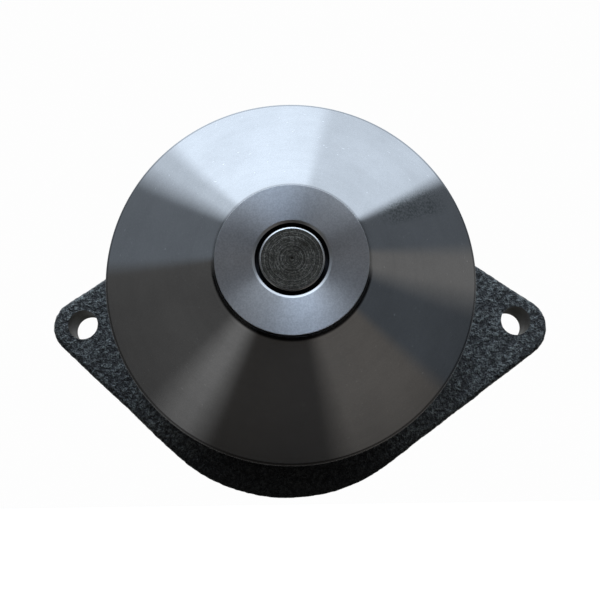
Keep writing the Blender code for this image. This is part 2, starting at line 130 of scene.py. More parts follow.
class Nodes:
    """Short way to write a material's or world's node tree."""

    def __init__(self, tree):
        self.tree = tree

    def add(self, kind, **settings):
        node = self.tree.nodes.new(kind)
        for key, value in settings.items():
            setattr(node, key, value)
        return node

    def join(self, source, target):
        self.tree.links.new(source, target)

    def feed(self, node, values):
        for key, value in values.items():
            socket = node.inputs[key]
            if isinstance(value, bpy.types.NodeSocket):
                self.join(value, socket)
            else:
                socket.default_value = value
        return node

    def math(self, operation, *values, clamp=False):
        node = self.add("ShaderNodeMath", operation=operation, use_clamp=clamp)
        self.feed(node, dict(enumerate(values)))
        return node.outputs[0]

    def mix(self, factor, first, second, blend="MIX"):
        node = self.add("ShaderNodeMix", data_type="RGBA", blend_type=blend)
        self.feed(node, {0: factor, 6: first, 7: second})
        return node.outputs[2]

    def ramp(self, value, stops, interpolation="LINEAR"):
        node = self.add("ShaderNodeValToRGB")
        node.color_ramp.interpolation = interpolation
        elements = node.color_ramp.elements
        elements[0].position, elements[0].color = stops[0][0], colour4(stops[0][1])
        elements[1].position, elements[1].color = stops[-1][0], colour4(stops[-1][1])
        for position, colour in stops[1:-1]:
            elements.new(position).color = colour4(colour)
        self.join(value, node.inputs[0])
        return node.outputs[0]

    def noise(self, vector, scale, detail=2.0, roughness=0.5):
        node = self.add("ShaderNodeTexNoise")
        self.feed(node, {"Vector": vector, "Scale": scale, "Detail": detail,
                         "Roughness": roughness})
        return node.outputs["Fac"]

    def combine(self, x, y, z):
        node = self.add("ShaderNodeCombineXYZ")
        self.feed(node, {0: x, 1: y, 2: z})
        return node.outputs[0]

    def bump(self, height, strength, distance, normal=None):
        node = self.add("ShaderNodeBump")
        self.feed(node, {"Height": height, "Strength": strength, "Distance": distance})
        if normal is not None:
            self.join(normal, node.inputs["Normal"])
        return node.outputs[0]

    def shaft_coordinates(self):
        """Radius from the shaft axis, place along it and angle about it."""
        place = self.add("ShaderNodeTexCoord").outputs["Object"]
        split = self.add("ShaderNodeSeparateXYZ")
        self.join(place, split.inputs[0])
        x, y, z = split.outputs
        squares = self.math("ADD", self.math("MULTIPLY", x, x), self.math("MULTIPLY", z, z))
        return place, self.math("SQRT", squares), y, self.math("ARCTAN2", z, x)


def colour4(value):
    if isinstance(value, (int, float)):
        return (value, value, value, 1.0)
    return (*value, 1.0) if len(value) == 3 else value


def new_material(name):
    made = bpy.data.materials.new(name)
    made.use_nodes = True
    nodes = Nodes(made.node_tree)
    shader = made.node_tree.nodes["Principled BSDF"]
    return made, nodes, shader


# ---------------------------------------------------------------- materials

def turned_metal(name, colour, roughness, anisotropy, pitch=0.22 * MM, bump=0.25, stain=0.10,
                 grit=0.0, sparkle=0.0, handled=False):
    """Metal cut on a lathe: fine rings about the shaft axis, faint stains and handling marks.

    Without grit the height depends on the ring alone, so reflections spread only across the rings.
    """
    made, n, shader = new_material(name)
    place, radius, along, angle = n.shaft_coordinates()
    ring_place = n.combine(n.math("MULTIPLY", radius, 1.0 / pitch),
                           n.math("MULTIPLY", along, 1.0 / pitch), 0.0)
    rings = n.noise(ring_place, 1.0, 3.0, 0.65)
    wide_rings = n.noise(n.combine(n.math("MULTIPLY", radius, 700.0),
                                   n.math("MULTIPLY", along, 700.0), 0.0), 1.0, 2.0)
    blotches = n.noise(place, 90.0, 4.0, 0.6)
    fine = n.noise(place, 1500.0, 2.0, 0.6)
    dull = n.mix(n.ramp(blotches, [(0.35, 0.0), (0.75, 1.0)]), colour4(colour),
                 colour4([c * (1.0 - stain) for c in colour]))
    tint = n.mix(n.ramp(wide_rings, [(0.3, 0.0), (0.7, 0.10)]), dull, colour4(0.42))
    if sparkle:
        grains = n.noise(place, 2600.0, 2.0, 0.7)
        tint = n.mix(n.ramp(grains, [(0.38, sparkle), (0.52, 0.0)]), tint, colour4(0.25))
        tint = n.mix(n.ramp(grains, [(0.50, 0.0), (0.64, sparkle)]), tint, colour4(1.0))
    if handled:
        tint = handling_marks(n, tint, place, radius, angle)
    rough = n.math("ADD", n.math("MULTIPLY", rings, 0.08),
                   n.math("ADD", n.math("MULTIPLY", blotches, 0.04), roughness - 0.06))
    height = n.math("ADD", rings, n.math("MULTIPLY", fine, grit))
    n.feed(shader, {"Base Color": tint, "Roughness": rough, "Metallic": 1.0,
                    "Normal": n.bump(height, bump, 0.02 * MM)})
    if anisotropy:
        shader.inputs["Anisotropic"].default_value = anisotropy
        shader.inputs["Anisotropic Rotation"].default_value = 0.25
        tangent = n.add("ShaderNodeTangent", direction_type="RADIAL", axis="Y")
        n.join(tangent.outputs[0], shader.inputs["Tangent"])
    return made


def handling_marks(n, tint, place, radius, angle):
    """A scuffed patch beside the boss, short scratches and a few bright specks."""
    scuffs = n.noise(place, 1700.0, 3.0, 0.75)
    patch = n.math("MULTIPLY", n.ramp(angle, [(0.37, 0.0), (0.42, 1.0), (0.54, 1.0), (0.60, 0.0)]),
                   n.ramp(n.math("MULTIPLY", radius, 10.0),
                          [(0.24, 0.0), (0.29, 1.0), (0.41, 1.0), (0.46, 0.0)]))
    dark = n.math("MULTIPLY", n.ramp(scuffs, [(0.44, 0.0), (0.58, 0.6)]), patch)
    tint = n.mix(dark, tint, colour4((0.17, 0.20, 0.19)))
    streaks = n.noise(n.combine(n.math("MULTIPLY", angle, 26.0),
                                n.math("MULTIPLY", radius, 2600.0), 4.0), 1.0, 1.0, 0.4)
    tint = n.mix(n.ramp(streaks, [(0.74, 0.0), (0.80, 0.5)]), tint, colour4(1.0))
    specks = n.noise(place, 1100.0, 1.0, 0.3)
    return n.mix(n.ramp(specks, [(0.80, 0.0), (0.83, 0.6)]), tint, colour4(1.0))


def sand_cast_paint(name):
    """Black paint over a sand-cast skin: raised grains get a lighter base colour as painted highlight,
    hollows a darker one as painted shade, and hollows stay dull.

    The paint is darkened towards the flange's lower edge as painted shade, standing in for the
    pulley's shadow.
    """
    made, n, shader = new_material(name)
    place = n.add("ShaderNodeTexCoord").outputs["Object"]
    grain = n.noise(place, 2000.0, 3.0, 0.6)
    lumps = n.noise(place, 950.0, 2.0, 0.5)
    blotch = n.noise(place, 60.0, 3.0, 0.6)
    raised = n.math("ADD", n.math("MULTIPLY", grain, 0.5), n.math("MULTIPLY", lumps, 0.5))
    # painted highlight and shade: base colour lighter on raised grains and darker in the hollows
    base = n.ramp(raised, [(0.43, (0.003, 0.004, 0.004)), (0.50, (0.026, 0.031, 0.030)),
                           (0.57, (0.190, 0.212, 0.202)), (0.64, (0.500, 0.560, 0.530))])
    base = n.mix(n.ramp(blotch, [(0.4, 0.0), (0.8, 0.35)]), base, colour4((0.020, 0.023, 0.026)))
    split = n.add("ShaderNodeSeparateXYZ")
    n.join(place, split.inputs[0])
    # painted shade: darker, rougher paint towards the flange's lower edge, standing in for the
    # pulley's shadow
    low = n.ramp(n.math("MULTIPLY_ADD", split.outputs[2], 10.0, 0.8), [(0.33, 1.0), (0.43, 0.0)])
    base = n.mix(n.math("MULTIPLY", low, 0.9), base, colour4((0.001, 0.002, 0.003)))
    rough = n.ramp(raised, [(0.40, 0.70), (0.60, 0.24)])
    rough = n.math("MULTIPLY_ADD", low, 0.3, rough)
    height = n.math("ADD", grain, n.math("MULTIPLY", lumps, 1.4))
    n.feed(shader, {"Base Color": base, "Roughness": rough, "Metallic": 0.0,
                    "Normal": n.bump(height, 1.0, 0.6 * MM)})
    shader.inputs["Specular IOR Level"].default_value = 1.0
    shader.inputs["IOR"].default_value = 1.6
    return made


def worn_end(name):
    """Dark, pitted end of the shaft: oily steel with worn high spots and fine rings."""
    made, n, shader = new_material(name)
    place, radius = n.shaft_coordinates()[:2]
    rings = n.noise(n.combine(n.math("MULTIPLY", radius, 3400.0), 0.0, 0.0), 1.0, 3.0, 0.65)
    pits = n.noise(place, 3600.0, 3.0, 0.7)
    film = n.noise(place, 230.0, 3.0, 0.6)
    marks = n.math("ADD", n.math("MULTIPLY", rings, 0.56), n.math("MULTIPLY", pits, 0.44))
    shade = n.ramp(marks, [(0.37, (0.012, 0.010, 0.008)), (0.50, (0.092, 0.085, 0.070)),
                           (0.63, (0.38, 0.36, 0.31))])
    shade = n.mix(n.ramp(film, [(0.42, 0.0), (0.68, 0.6)]), shade, colour4((0.024, 0.020, 0.013)))
    height = n.math("ADD", n.math("MULTIPLY", rings, 0.6), pits)
    n.feed(shader, {"Base Color": shade, "Metallic": 0.85,
                    "Roughness": n.ramp(marks, [(0.35, 0.62), (0.65, 0.36)]),
                    "Normal": n.bump(height, 0.8, 0.05 * MM)})
    return made


def bare_cast(name, dark, light, scale=900.0, bump=0.4, metallic=0.6):
    """Unpainted cast iron with a dull, faintly stained skin."""
    made, n, shader = new_material(name)
    place = n.add("ShaderNodeTexCoord").outputs["Object"]
    grain = n.noise(place, scale, 4.0, 0.65)
    stain = n.noise(place, scale / 9.0, 3.0, 0.6)
    mixed = n.math("ADD", n.math("MULTIPLY", grain, 0.6), n.math("MULTIPLY", stain, 0.4))
    n.feed(shader, {"Base Color": n.ramp(mixed, [(0.35, dark), (0.65, light)]),
                    "Roughness": n.ramp(stain, [(0.3, 0.5), (0.7, 0.72)]),
                    "Metallic": metallic,
                    "Normal": n.bump(grain, bump, 0.12 * MM)})
    return made


def milled_face(name):
    """Machined cast-iron sealing face with the sweep of a large cutter across it."""
    made, n, shader = new_material(name)
    place = n.add("ShaderNodeTexCoord").outputs["Object"]
    split = n.add("ShaderNodeSeparateXYZ")
    n.join(place, split.inputs[0])
    x = n.math("ADD", split.outputs[0], 0.11)
    z = n.math("ADD", split.outputs[2], 0.03)
    reach = n.math("SQRT", n.math("ADD", n.math("MULTIPLY", x, x), n.math("MULTIPLY", z, z)))
    sweep = n.noise(n.combine(n.math("MULTIPLY", reach, 2200.0), 0.0, 0.0), 1.0, 2.0)
    pores = n.noise(place, 1300.0, 3.0, 0.7)
    stain = n.noise(place, 45.0, 3.0, 0.6)
    shade = n.mix(n.ramp(stain, [(0.35, 0.0), (0.75, 0.6)]), colour4((0.34, 0.34, 0.33)),
                  colour4((0.20, 0.185, 0.16)))
    shade = n.mix(n.ramp(pores, [(0.62, 0.0), (0.72, 0.7)]), shade, colour4(0.05))
    height = n.math("ADD", sweep, n.math("MULTIPLY", pores, -0.4))
    n.feed(shader, {"Base Color": shade, "Roughness": n.ramp(sweep, [(0.3, 0.28), (0.7, 0.46)]),
                    "Metallic": 0.9, "Normal": n.bump(height, 0.3, 0.03 * MM)})
    return made


def rubber(name, colour=(0.018, 0.018, 0.019)):
    made, n, shader = new_material(name)
    place = n.add("ShaderNodeTexCoord").outputs["Object"]
    grain = n.noise(place, 1600.0, 3.0, 0.6)
    dust = n.noise(place, 150.0, 4.0, 0.65)
    shade = n.mix(n.ramp(dust, [(0.45, 0.0), (0.8, 0.5)]), colour4(colour), colour4(0.07))
    n.feed(shader, {"Base Color": shade, "Roughness": n.ramp(dust, [(0.3, 0.5), (0.7, 0.75)]),
                    "Normal": n.bump(grain, 0.35, 0.04 * MM)})
    return made


def plain_solid(name, first, second, roughness, metallic, scale=700.0):
    """Small inner pieces: a fine mottled surface between two close colours."""
    made, n, shader = new_material(name)
    place = n.add("ShaderNodeTexCoord").outputs["Object"]
    mottle = n.noise(place, scale, 3.0, 0.6)
    n.feed(shader, {"Base Color": n.ramp(mottle, [(0.35, first), (0.65, second)]),
                    "Roughness": n.ramp(mottle, [(0.3, roughness - 0.06), (0.7, roughness + 0.06)]),
                    "Metallic": metallic, "Normal": n.bump(mottle, 0.2, 0.02 * MM)})
    return made


# ---------------------------------------------------------------- mesh helpers

def add_object(name, mesh, materials):
    item = bpy.data.objects.new(name, mesh)
    bpy.context.scene.collection.objects.link(item)
    for surface in materials:
        mesh.materials.append(surface)
    return item


def arc(centre, radius, start, end, count):
    """Points on an arc of a profile, angles in degrees."""
    angles = [math.radians(start + (end - start) * i / count) for i in range(count + 1)]
    return [(centre[0] + radius * math.cos(a), centre[1] + radius * math.sin(a)) for a in angles]


def turned_mesh(name, profile, steps, closed=True, zones=None):
    """Spin (radius, station) points about the shaft; outer side listed front to rear.

    zones gives each stretch of the profile its material index.
    """
    steps = max(24, int(steps * DETAIL))
    verts = []
    rows = []
    for radius, station in profile:
        if radius < 1e-7:
            rows.append([len(verts)] * steps)
            verts.append((0.0, -station, 0.0))
            continue
        rows.append(list(range(len(verts), len(verts) + steps)))
        for step in range(steps):
            angle = math.tau * step / steps
            verts.append((radius * math.cos(angle), -station, radius * math.sin(angle)))
    faces = []
    marks = []
    count = len(profile) if closed else len(profile) - 1
    for i in range(count):
        upper = rows[i]
        lower = rows[(i + 1) % len(rows)]
        for step in range(steps):
            after = (step + 1) % steps
            corners = [upper[step], lower[step], lower[after], upper[after]]
            corners = list(dict.fromkeys(corners))
            if len(corners) > 2:
                faces.append(corners)
                marks.append(zones[i] if zones else 0)
    mesh = bpy.data.meshes.new(name)
    mesh.from_pydata(verts, [], faces)
    mesh.polygons.foreach_set("material_index", marks)
    body = bmesh.new()
    body.from_mesh(mesh)
    bmesh.ops.recalc_face_normals(body, faces=body.faces)
    body.to_mesh(mesh)
    body.free()
    mesh.shade_smooth()
    mesh.set_sharp_from_angle(angle=math.radians(28.0))
    return mesh


def tangent_direction(first, second):
    """Angle of the outward normal of the outer tangent line from one circle to the next."""
    dx = second[0] - first[0]
    dy = second[1] - first[1]
    lean = math.asin((first[2] - second[2]) / math.hypot(dx, dy))
    return math.atan2(dy, dx) - math.pi / 2 + lean


def rounded_outline(circles, step=math.radians(2.5)):
    """Arcs around each circle in turn, joined by their outer tangents, anticlockwise."""
    points = []
    for index, circle in enumerate(circles):
        start = tangent_direction(circles[index - 1], circle)
        end = tangent_direction(circle, circles[(index + 1) % len(circles)])
        sweep = (end - start) % math.tau
        count = max(2, round(sweep / step))
        for i in range(count + 1):
            angle = start + sweep * i / count
            points.append((circle[0] + circle[2] * math.cos(angle),
                           circle[1] + circle[2] * math.sin(angle)))
    return points


def plate_mesh(name, loops, rear, front, rounding=0.0):
    """Closed plates from (x, z) outlines between two stations, front edges rounded."""
    body = bmesh.new()
    for loop in loops:
        low = [body.verts.new((x, -rear, z)) for x, z in loop]
        high = [body.verts.new((x, -front, z)) for x, z in loop]
        body.faces.new(low)
        body.faces.new(high[::-1])
        for i in range(len(loop)):
            j = (i + 1) % len(loop)
            body.faces.new((low[i], high[i], high[j], low[j]))
    bmesh.ops.recalc_face_normals(body, faces=body.faces)
    if rounding:
        rim = [edge for edge in body.edges
               if all(abs(v.co.y + front) < 1e-7 for v in edge.verts)]
        bmesh.ops.bevel(body, geom=rim, offset=rounding, segments=5, profile=0.5,
                        affect="EDGES", clamp_overlap=True)
    mesh = bpy.data.meshes.new(name)
    body.to_mesh(mesh)
    body.free()
    return mesh


def rod_mesh(name, placements, radius, length, sides=96):
    mesh = bpy.data.meshes.new(name)
    body = bmesh.new()
    for matrix in placements:
        bmesh.ops.create_cone(body, cap_ends=True, segments=sides, radius1=radius,
                              radius2=radius, depth=length, matrix=matrix)
    body.to_mesh(mesh)
    body.free()
    return mesh


def evaluated_mesh(item):
    bpy.context.view_layer.update()
    graph = bpy.context.evaluated_depsgraph_get()
    mesh = bpy.data.meshes.new_from_object(item.evaluated_get(graph))
    mesh.materials.clear()
    return mesh


def boolean(mesh, tools, operation):
    """The mesh joined with, or cut by, closed tool meshes in turn."""
    item = bpy.data.objects.new("work", mesh)
    bpy.context.scene.collection.objects.link(item)
    helpers = []
    for tool in tools:
        helper = bpy.data.objects.new("tool", tool)
        bpy.context.scene.collection.objects.link(helper)
        helpers.append(helper)
        step = item.modifiers.new("step", "BOOLEAN")
        step.operation = operation
        step.solver = "MANIFOLD"
        step.object = helper
    result = evaluated_mesh(item)
    for extra in [item, *helpers]:
        bpy.data.objects.remove(extra, do_unlink=True)
    return result


def cast_skin(mesh, voxel, lumps):
    """Remesh evenly and raise a sand-cast skin; lumps lists (size, height) of each layer."""
    item = bpy.data.objects.new("work", mesh)
    bpy.context.scene.collection.objects.link(item)
    remesh = item.modifiers.new("remesh", "REMESH")
    remesh.mode = "VOXEL"
    remesh.voxel_size = voxel / DETAIL
    smooth = item.modifiers.new("smooth", "SMOOTH")
    smooth.factor = 0.5
    smooth.iterations = 2
    result = evaluated_mesh(item)
    bpy.data.objects.remove(item, do_unlink=True)
    raise_skin(result, lumps)
    return result


def raise_skin(mesh, lumps):
    """Move each vertex along its normal by layers of noise."""
    count = len(mesh.vertices)
    places = np.empty(count * 3)
    normals = np.empty(count * 3)
    mesh.vertices.foreach_get("co", places)
    mesh.vertex_normals.foreach_get("vector", normals)
    places = places.reshape(-1, 3)
    offsets = np.zeros(count)
    for size, height in lumps:
        layer = [noise.noise(point) for point in places / size]
        offsets += np.array(layer) * height
    places += normals.reshape(-1, 3) * offsets[:, None]
    mesh.vertices.foreach_set("co", places.ravel())
    mesh.update()


# ---------------------------------------------------------------- pieces

def pulley_profile():
    """Pulley section with the material zone of each stretch."""
    cone_top = BOSS_FACE - BOSS_HEIGHT
    edge = BOSS_FACE - CONE_EDGE_DEPTH
    slope = (cone_top - edge) / (CONE_EDGE_RADIUS - CONE_TOP_RADIUS)
    rim_front = edge - (RIM_RADIUS - CONE_EDGE_RADIUS)
    flank = RIB_DEPTH * math.tan(math.radians(20.0))
    floor = 0.7 * MM
    bank = (RIB_COUNT - 1) * RIB_PITCH + 2 * flank + floor
    land = (rim_front - RIM_REAR - bank) / 2
    web_outer = cone_top - (RIM_INNER_RADIUS - CONE_TOP_RADIUS) * slope - WEB_THICKNESS
    web_inner = cone_top + (CONE_TOP_RADIUS - HUB_RADIUS) * slope - WEB_THICKNESS
    bore = SHAFT_RADIUS + BORE_GAP
    lean = math.atan(slope)
    foot = BOSS_RADIUS + FILLET_RADIUS * (1 - math.sin(lean))
    fillet_station = cone_top + (CONE_TOP_RADIUS - foot) * slope + FILLET_RADIUS * math.cos(lean)
    # the worn zone takes the lighter steel_edge: bare worn edges, with a painted highlight line along
    # them
    face, cone, rim, inside, hole, worn, dark, corner = range(8)
    soft = 0.12 * MM
    fillet_start = math.degrees(math.asin((fillet_station - BOSS_FACE + soft) / FILLET_RADIUS))
    parts = [
        (worn, [(BORE_MOUTH_RADIUS, BOSS_FACE - 0.03 * MM)]),
        (face, [(BORE_MOUTH_RADIUS + 0.06 * MM, BOSS_FACE), (BOSS_RADIUS - soft, BOSS_FACE)]),
        (worn, arc((BOSS_RADIUS - soft, BOSS_FACE - soft), soft, 75, 0, 4)),
        (corner, arc((BOSS_RADIUS + FILLET_RADIUS, fillet_station), FILLET_RADIUS,
                     180 + fillet_start, 270 - math.degrees(lean), 14)),
        (cone, [(foot + soft, cone_top + (CONE_TOP_RADIUS - foot - soft) * slope),
                (CONE_EDGE_RADIUS - 0.1 * MM, edge + 0.1 * MM * slope)]),
        (dark, [(CONE_EDGE_RADIUS, edge - 0.03 * MM),
                (RIM_RADIUS - 0.2 * MM, rim_front + 0.2 * MM)]),
        (worn, arc((RIM_RADIUS - 0.15 * MM, rim_front), 0.15 * MM, 60, -20, 4)),
    ]
    ribs = []
    for index in range(RIB_COUNT):
        top = rim_front - land - index * RIB_PITCH
        ribs += [(RIM_RADIUS, top + 0.12 * MM), (RIM_RADIUS - 0.1 * MM, top - 0.02 * MM),
                 (RIM_RADIUS - RIB_DEPTH + 0.12 * MM, top - flank + 0.02 * MM),
                 (RIM_RADIUS - RIB_DEPTH, top - flank - 0.12 * MM),
                 (RIM_RADIUS - RIB_DEPTH, top - flank - floor + 0.12 * MM),
                 (RIM_RADIUS - RIB_DEPTH + 0.12 * MM, top - flank - floor - 0.02 * MM),
                 (RIM_RADIUS - 0.1 * MM, top - 2 * flank - floor + 0.02 * MM),
                 (RIM_RADIUS, top - 2 * flank - floor - 0.12 * MM)]
    parts += [
        (rim, ribs),
        (rim, [(RIM_RADIUS, RIM_REAR + 0.4 * MM), (RIM_RADIUS - 0.4 * MM, RIM_REAR)]),
        (inside, [(RIM_INNER_RADIUS + 0.4 * MM, RIM_REAR),
                  (RIM_INNER_RADIUS, RIM_REAR + 0.4 * MM)]),
        (inside, arc((RIM_INNER_RADIUS - 3 * MM, web_outer - 1.6 * MM), 3 * MM, 0, 58, 6)),
        (inside, arc((HUB_RADIUS + 3 * MM, web_inner - 5.2 * MM), 3 * MM, 122, 180, 5)),
        (inside, [(HUB_RADIUS, HUB_REAR + 0.4 * MM), (HUB_RADIUS - 0.4 * MM, HUB_REAR),
                  (bore + 0.5 * MM, HUB_REAR), (bore, HUB_REAR + 0.5 * MM)]),
        # hole: the counterbore wall, whose near-black steel_bore colour is painted shade in the recess
        (hole, [(bore, BOSS_FACE - COUNTERBORE_DEPTH),
                (COUNTERBORE_RADIUS, BOSS_FACE - COUNTERBORE_DEPTH)]),
        (worn, [(COUNTERBORE_RADIUS, BOSS_FACE - 0.36 * MM)]),
    ]
    points = []
    zones = []
    for zone, stretch in parts:
        points += stretch
        zones += [zone] * len(stretch)
    return points, zones


def build_pulley(materials):
    points, zones = pulley_profile()
    piece = add_object("pulley_turned", turned_mesh("pulley_turned", points, 384, zones=zones),
                       [materials["steel_face"], materials["steel_cone"], materials["steel_rim"],
                        materials["steel_inside"], materials["steel_bore"],
                        materials["steel_edge"], materials["steel_chamfer"],
                        materials["steel_corner"]])
    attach(piece, "rotor")
    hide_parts("pulley", "pulley_rim")


def race_groove(row):
    """Dip ground into the shaft where one row of balls runs, from front to rear."""
    low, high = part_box(f"bearing_cage_{row}")
    track = BALL_RADIUS + RACE_CLEARANCE
    reach = math.degrees(math.acos((BALL_CIRCLE_RADIUS - SHAFT_RADIUS) / track))
    centre = (BALL_CIRCLE_RADIUS, -(low.y + high.y) / 2)
    return arc(centre, track, 180 - reach, 180 + reach, 12)


def build_shaft(materials):
    """Shaft with a rounded front end that carries fine turning steps and a centre mark."""
    chamfer = 0.5 * MM
    front = SHAFT_FRONT
    points = [(0.0, front - 0.45 * MM), (0.30 * MM, front - 0.08 * MM), (0.45 * MM, front)]
    zones = [0, 0, 0]
    step_count = 24
    pitch = (SHAFT_RADIUS - chamfer - points[-1][0]) / step_count
    for step in range(1, step_count):
        lift = noise.noise(Vector((step * 0.73, 0.0, 0.0))) * 0.035 * MM
        points.append((0.45 * MM + step * pitch, front - 0.012 * MM + lift))
        zones.append(0)
    round_end = arc((SHAFT_RADIUS - chamfer, front - chamfer), chamfer, 90, 0, 6)
    points += round_end
    zones += [1] * (len(round_end) - 1) + [2]
    for row in ("front", "rear"):
        groove = race_groove(row)
        points += groove
        zones += [2] * len(groove)
    points += [(SHAFT_RADIUS, SHAFT_REAR + chamfer), (SHAFT_RADIUS - chamfer, SHAFT_REAR),
               (2.0 * MM, SHAFT_REAR), (0.0, SHAFT_REAR + 1.4 * MM)]
    zones += [2, 2, 0, 0]
    piece = add_object("shaft_turned",
                       turned_mesh("shaft_turned", points, 192, closed=False, zones=zones),
                       [materials["shaft_end"], materials["shaft_chamfer"], materials["shaft_side"]])
    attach(piece, "rotor")
    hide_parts("bearing_shaft")


def down_matrix(station):
    middle = -(SEAL_CAVITY_RADIUS + NOSE_RADIUS) / 2
    return Matrix.Translation((0.0, -station, middle))


def shifted(mesh, centre):
    mesh.transform(Matrix.Translation((centre[0], 0.0, centre[1])))
    return mesh


def build_housing(materials):
    """Cast flange and nose with a rough skin, then cut by the machined features."""
    plate = plate_mesh("plate", [rounded_outline(OUTLINE)], -1.5 * MM, FLANGE_FRONT,
                       FLANGE_ROUNDING)
    fillet = arc((NOSE_RADIUS + NOSE_FILLET, FLANGE_FRONT + NOSE_FILLET), NOSE_FILLET, 180, 270, 8)
    nose_end = NOSE_FRONT + MACHINING_ALLOWANCE
    nose = turned_mesh("nose", [(0.0, nose_end), (NOSE_RADIUS, nose_end),
                                *fillet, (NOSE_RADIUS + NOSE_FILLET, 6 * MM), (0.0, 6 * MM)],
                       128, closed=False)
    skin = cast_skin(boolean(plate, [nose], "UNION"), HOUSING_VOXEL, HOUSING_LUMPS)
    housing = boolean(skin, housing_cutters(), "DIFFERENCE")
    mark_machined(housing)
    housing.shade_smooth()
    housing.set_sharp_from_angle(angle=math.radians(42.0))
    piece = add_object("housing_cast", housing,
                       [materials["cast_paint"], materials["milled"], materials["hole_wall"]])
    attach(piece, "housing")
    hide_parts("housing")


def disc_profile(radius, rear, front):
    return [(0.0, front), (radius, front), (radius, rear), (0.0, rear)]


def housing_cutters():
    slab = plate_mesh("slab", [[(-0.1, -0.1), (0.1, -0.1), (0.1, 0.1), (-0.1, 0.1)]], -0.01, 0.0)
    nose_end = plate_mesh("nose_end", [[(-0.03, -0.03), (0.03, -0.03), (0.03, 0.03),
                                        (-0.03, 0.03)]], NOSE_FRONT, NOSE_FRONT + 0.01)
    bearing_bore = BEARING_RADIUS + BORE_GAP
    bore = turned_mesh("bore", [(0.0, NOSE_FRONT + 0.02), (bearing_bore, NOSE_FRONT + 0.02),
                                (bearing_bore, BEARING_SHOULDER),
                                (SEAL_CAVITY_RADIUS, BEARING_SHOULDER),
                                (SEAL_CAVITY_RADIUS, -0.012), (0.0, -0.012)], 160, closed=False)
    recess = shifted(turned_mesh("recess", disc_profile(RECESS_RADIUS, -0.012, RECESS_DEPTH),
                                 192, closed=False), RECESS_CENTRE)
    groove = shifted(turned_mesh("groove", [(GROOVE_INNER, GROOVE_DEPTH), (GROOVE_OUTER, GROOVE_DEPTH),
                                            (GROOVE_OUTER, -0.012), (GROOVE_INNER, -0.012)], 192),
                     GROOVE_CENTRE)
    bolts = rod_mesh("bolts", [Matrix.Translation((x, -FLANGE_FRONT / 2, z)) @ FORWARD
                               for x, z in BOLT_HOLES], BOLT_HOLE_RADIUS, 0.03)
    weep = rod_mesh("weep", [down_matrix(WEEP_STATION)], WEEP_RADIUS, 0.02, 48)
    return [slab, nose_end, bore, recess, groove, bolts, weep]


def mark_machined(mesh):
    """Give cut faces their own material by where they lie."""
    count = len(mesh.polygons)
    centres = np.empty(count * 3)
    mesh.polygons.foreach_get("center", centres)
    x, y, z = centres.reshape(-1, 3).T
    marks = np.zeros(count, int)
    marks[y > -2e-5] = 1
    marks[y < -NOSE_FRONT + 2e-5] = 1
    near_axis = np.hypot(x, z)
    marks[near_axis < BEARING_RADIUS + 0.2 * MM] = 1
    in_recess = np.hypot(x - RECESS_CENTRE[0], z - RECESS_CENTRE[1]) < RECESS_RADIUS + 0.05 * MM
    marks[in_recess & (y > -RECESS_DEPTH - 2e-5)] = 1
    from_groove = np.hypot(x - GROOVE_CENTRE[0], z - GROOVE_CENTRE[1])
    in_groove = (from_groove > GROOVE_INNER - 5e-5) & (from_groove < GROOVE_OUTER + 5e-5)
    marks[in_groove & (y > -GROOVE_DEPTH - 2e-5)] = 1
    for hole_x, hole_z in BOLT_HOLES:
        marks[np.hypot(x - hole_x, z - hole_z) < BOLT_HOLE_RADIUS + 2e-5] = 2
    mesh.polygons.foreach_set("material_index", marks)


def vane_outline(start_angle):
    """One backward-swept vane as a closed outline."""
    inner = 13.9 * MM
    outer = IMPELLER_HIGH.x - 0.2 * MM
    samples = 14
    near_side = []
    far_side = []
    for index in range(samples + 1):
        share = index / samples
        radius = inner + (outer - inner) * share
        angle = start_angle + VANE_SWEEP * share
        half = VANE_THICKNESS / 2 / radius * (1.35 - 0.35 * share)
        near_side.append((radius * math.cos(angle - half), radius * math.sin(angle - half)))
        far_side.append((radius * math.cos(angle + half), radius * math.sin(angle + half)))
    return near_side + far_side[::-1]


def build_impeller(materials):
    disc_front = -2.4 * MM
    disc_rear = -5.2 * MM
    radius = IMPELLER_HIGH.x
    body = turned_mesh("body", [(0.0, -1.4 * MM), (IMPELLER_HUB_RADIUS, -1.4 * MM),
                                (IMPELLER_HUB_RADIUS, disc_front), (radius, disc_front),
                                (radius, disc_rear), (IMPELLER_HUB_RADIUS, disc_rear),
                                *arc((IMPELLER_HUB_RADIUS, disc_rear - 3 * MM), 3 * MM, 110, 180, 6),
                                (14.4 * MM, -18.8 * MM), (13.6 * MM, -19.6 * MM),
                                (0.0, -19.6 * MM)], 128, closed=False)
    loops = [vane_outline(math.tau * i / VANE_COUNT) for i in range(VANE_COUNT)]
    vanes = plate_mesh("vanes", loops, -17.0 * MM, -4.7 * MM)
    skin = cast_skin(boolean(body, [vanes], "UNION"), 0.5 * MM,
                     [(1.4 * MM, 0.07 * MM), (5.0 * MM, 0.10 * MM)])
    bore = turned_mesh("bore", disc_profile(SHAFT_RADIUS + BORE_GAP, -0.03, 0.0), 96, closed=False)
    counterbore = turned_mesh("counterbore", disc_profile(13.55 * MM, -6.9 * MM, 0.0), 96,
                              closed=False)
    mesh = boolean(skin, [bore, counterbore], "DIFFERENCE")
    mesh.shade_smooth()
    mesh.set_sharp_from_angle(angle=math.radians(45.0))
    piece = add_object("impeller_cast", mesh, [materials["impeller"]])
    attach(piece, "rotor")
    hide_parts("impeller")


def build_mounting_seal(materials):
    low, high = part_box("mounting_seal_ring")
    outer = (high.x - low.x) / 2
    inner = outer - 2.6 * MM
    front, rear = -low.y, -high.y
    soft = 0.5 * MM
    points = [(inner + soft, front), (outer - soft, front),
              *arc((outer - soft, rear + soft), soft, 0, -90, 4),
              *arc((inner + soft, rear + soft), soft, -90, -180, 4)]
    mesh = shifted(turned_mesh("mounting_seal_soft", points, 256), GROOVE_CENTRE)
    piece = add_object("mounting_seal_soft", mesh, [materials["rubber"]])
    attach(piece, "housing")
    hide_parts("mounting_seal_ring")


